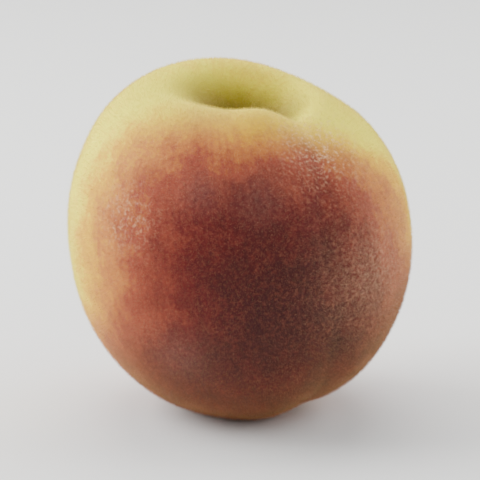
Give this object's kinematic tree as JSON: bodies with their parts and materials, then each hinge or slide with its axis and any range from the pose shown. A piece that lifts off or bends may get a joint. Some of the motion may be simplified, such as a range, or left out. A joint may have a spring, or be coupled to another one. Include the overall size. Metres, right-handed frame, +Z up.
{
  "type": "peach",
  "caption": "Whole ripe peach with downy blushed skin, a soft suture, a deep stem cavity holding a dry stub of stalk, and a small flat spot to rest on.",
  "frame": {"origin": "on the surface the fruit rests on, under the middle of its outline (bottom centre of its box)", "axes": "+Z up towards the stem cavity, -Y the front with the blush, +X to the right seen from the front"},
  "size_m": [0.074, 0.072, 0.0754],
  "materials": {
    "downy_skin": "matt skin under short pale down, yellow-green ground with an orange to maroon blush",
    "woody_stalk": "dry, rough and dull, dark at the core"
  },
  "bodies": {
    "root": {"peach": "downy_skin", "stalk_stub": "woody_stalk"}
  },
  "joints": []
}
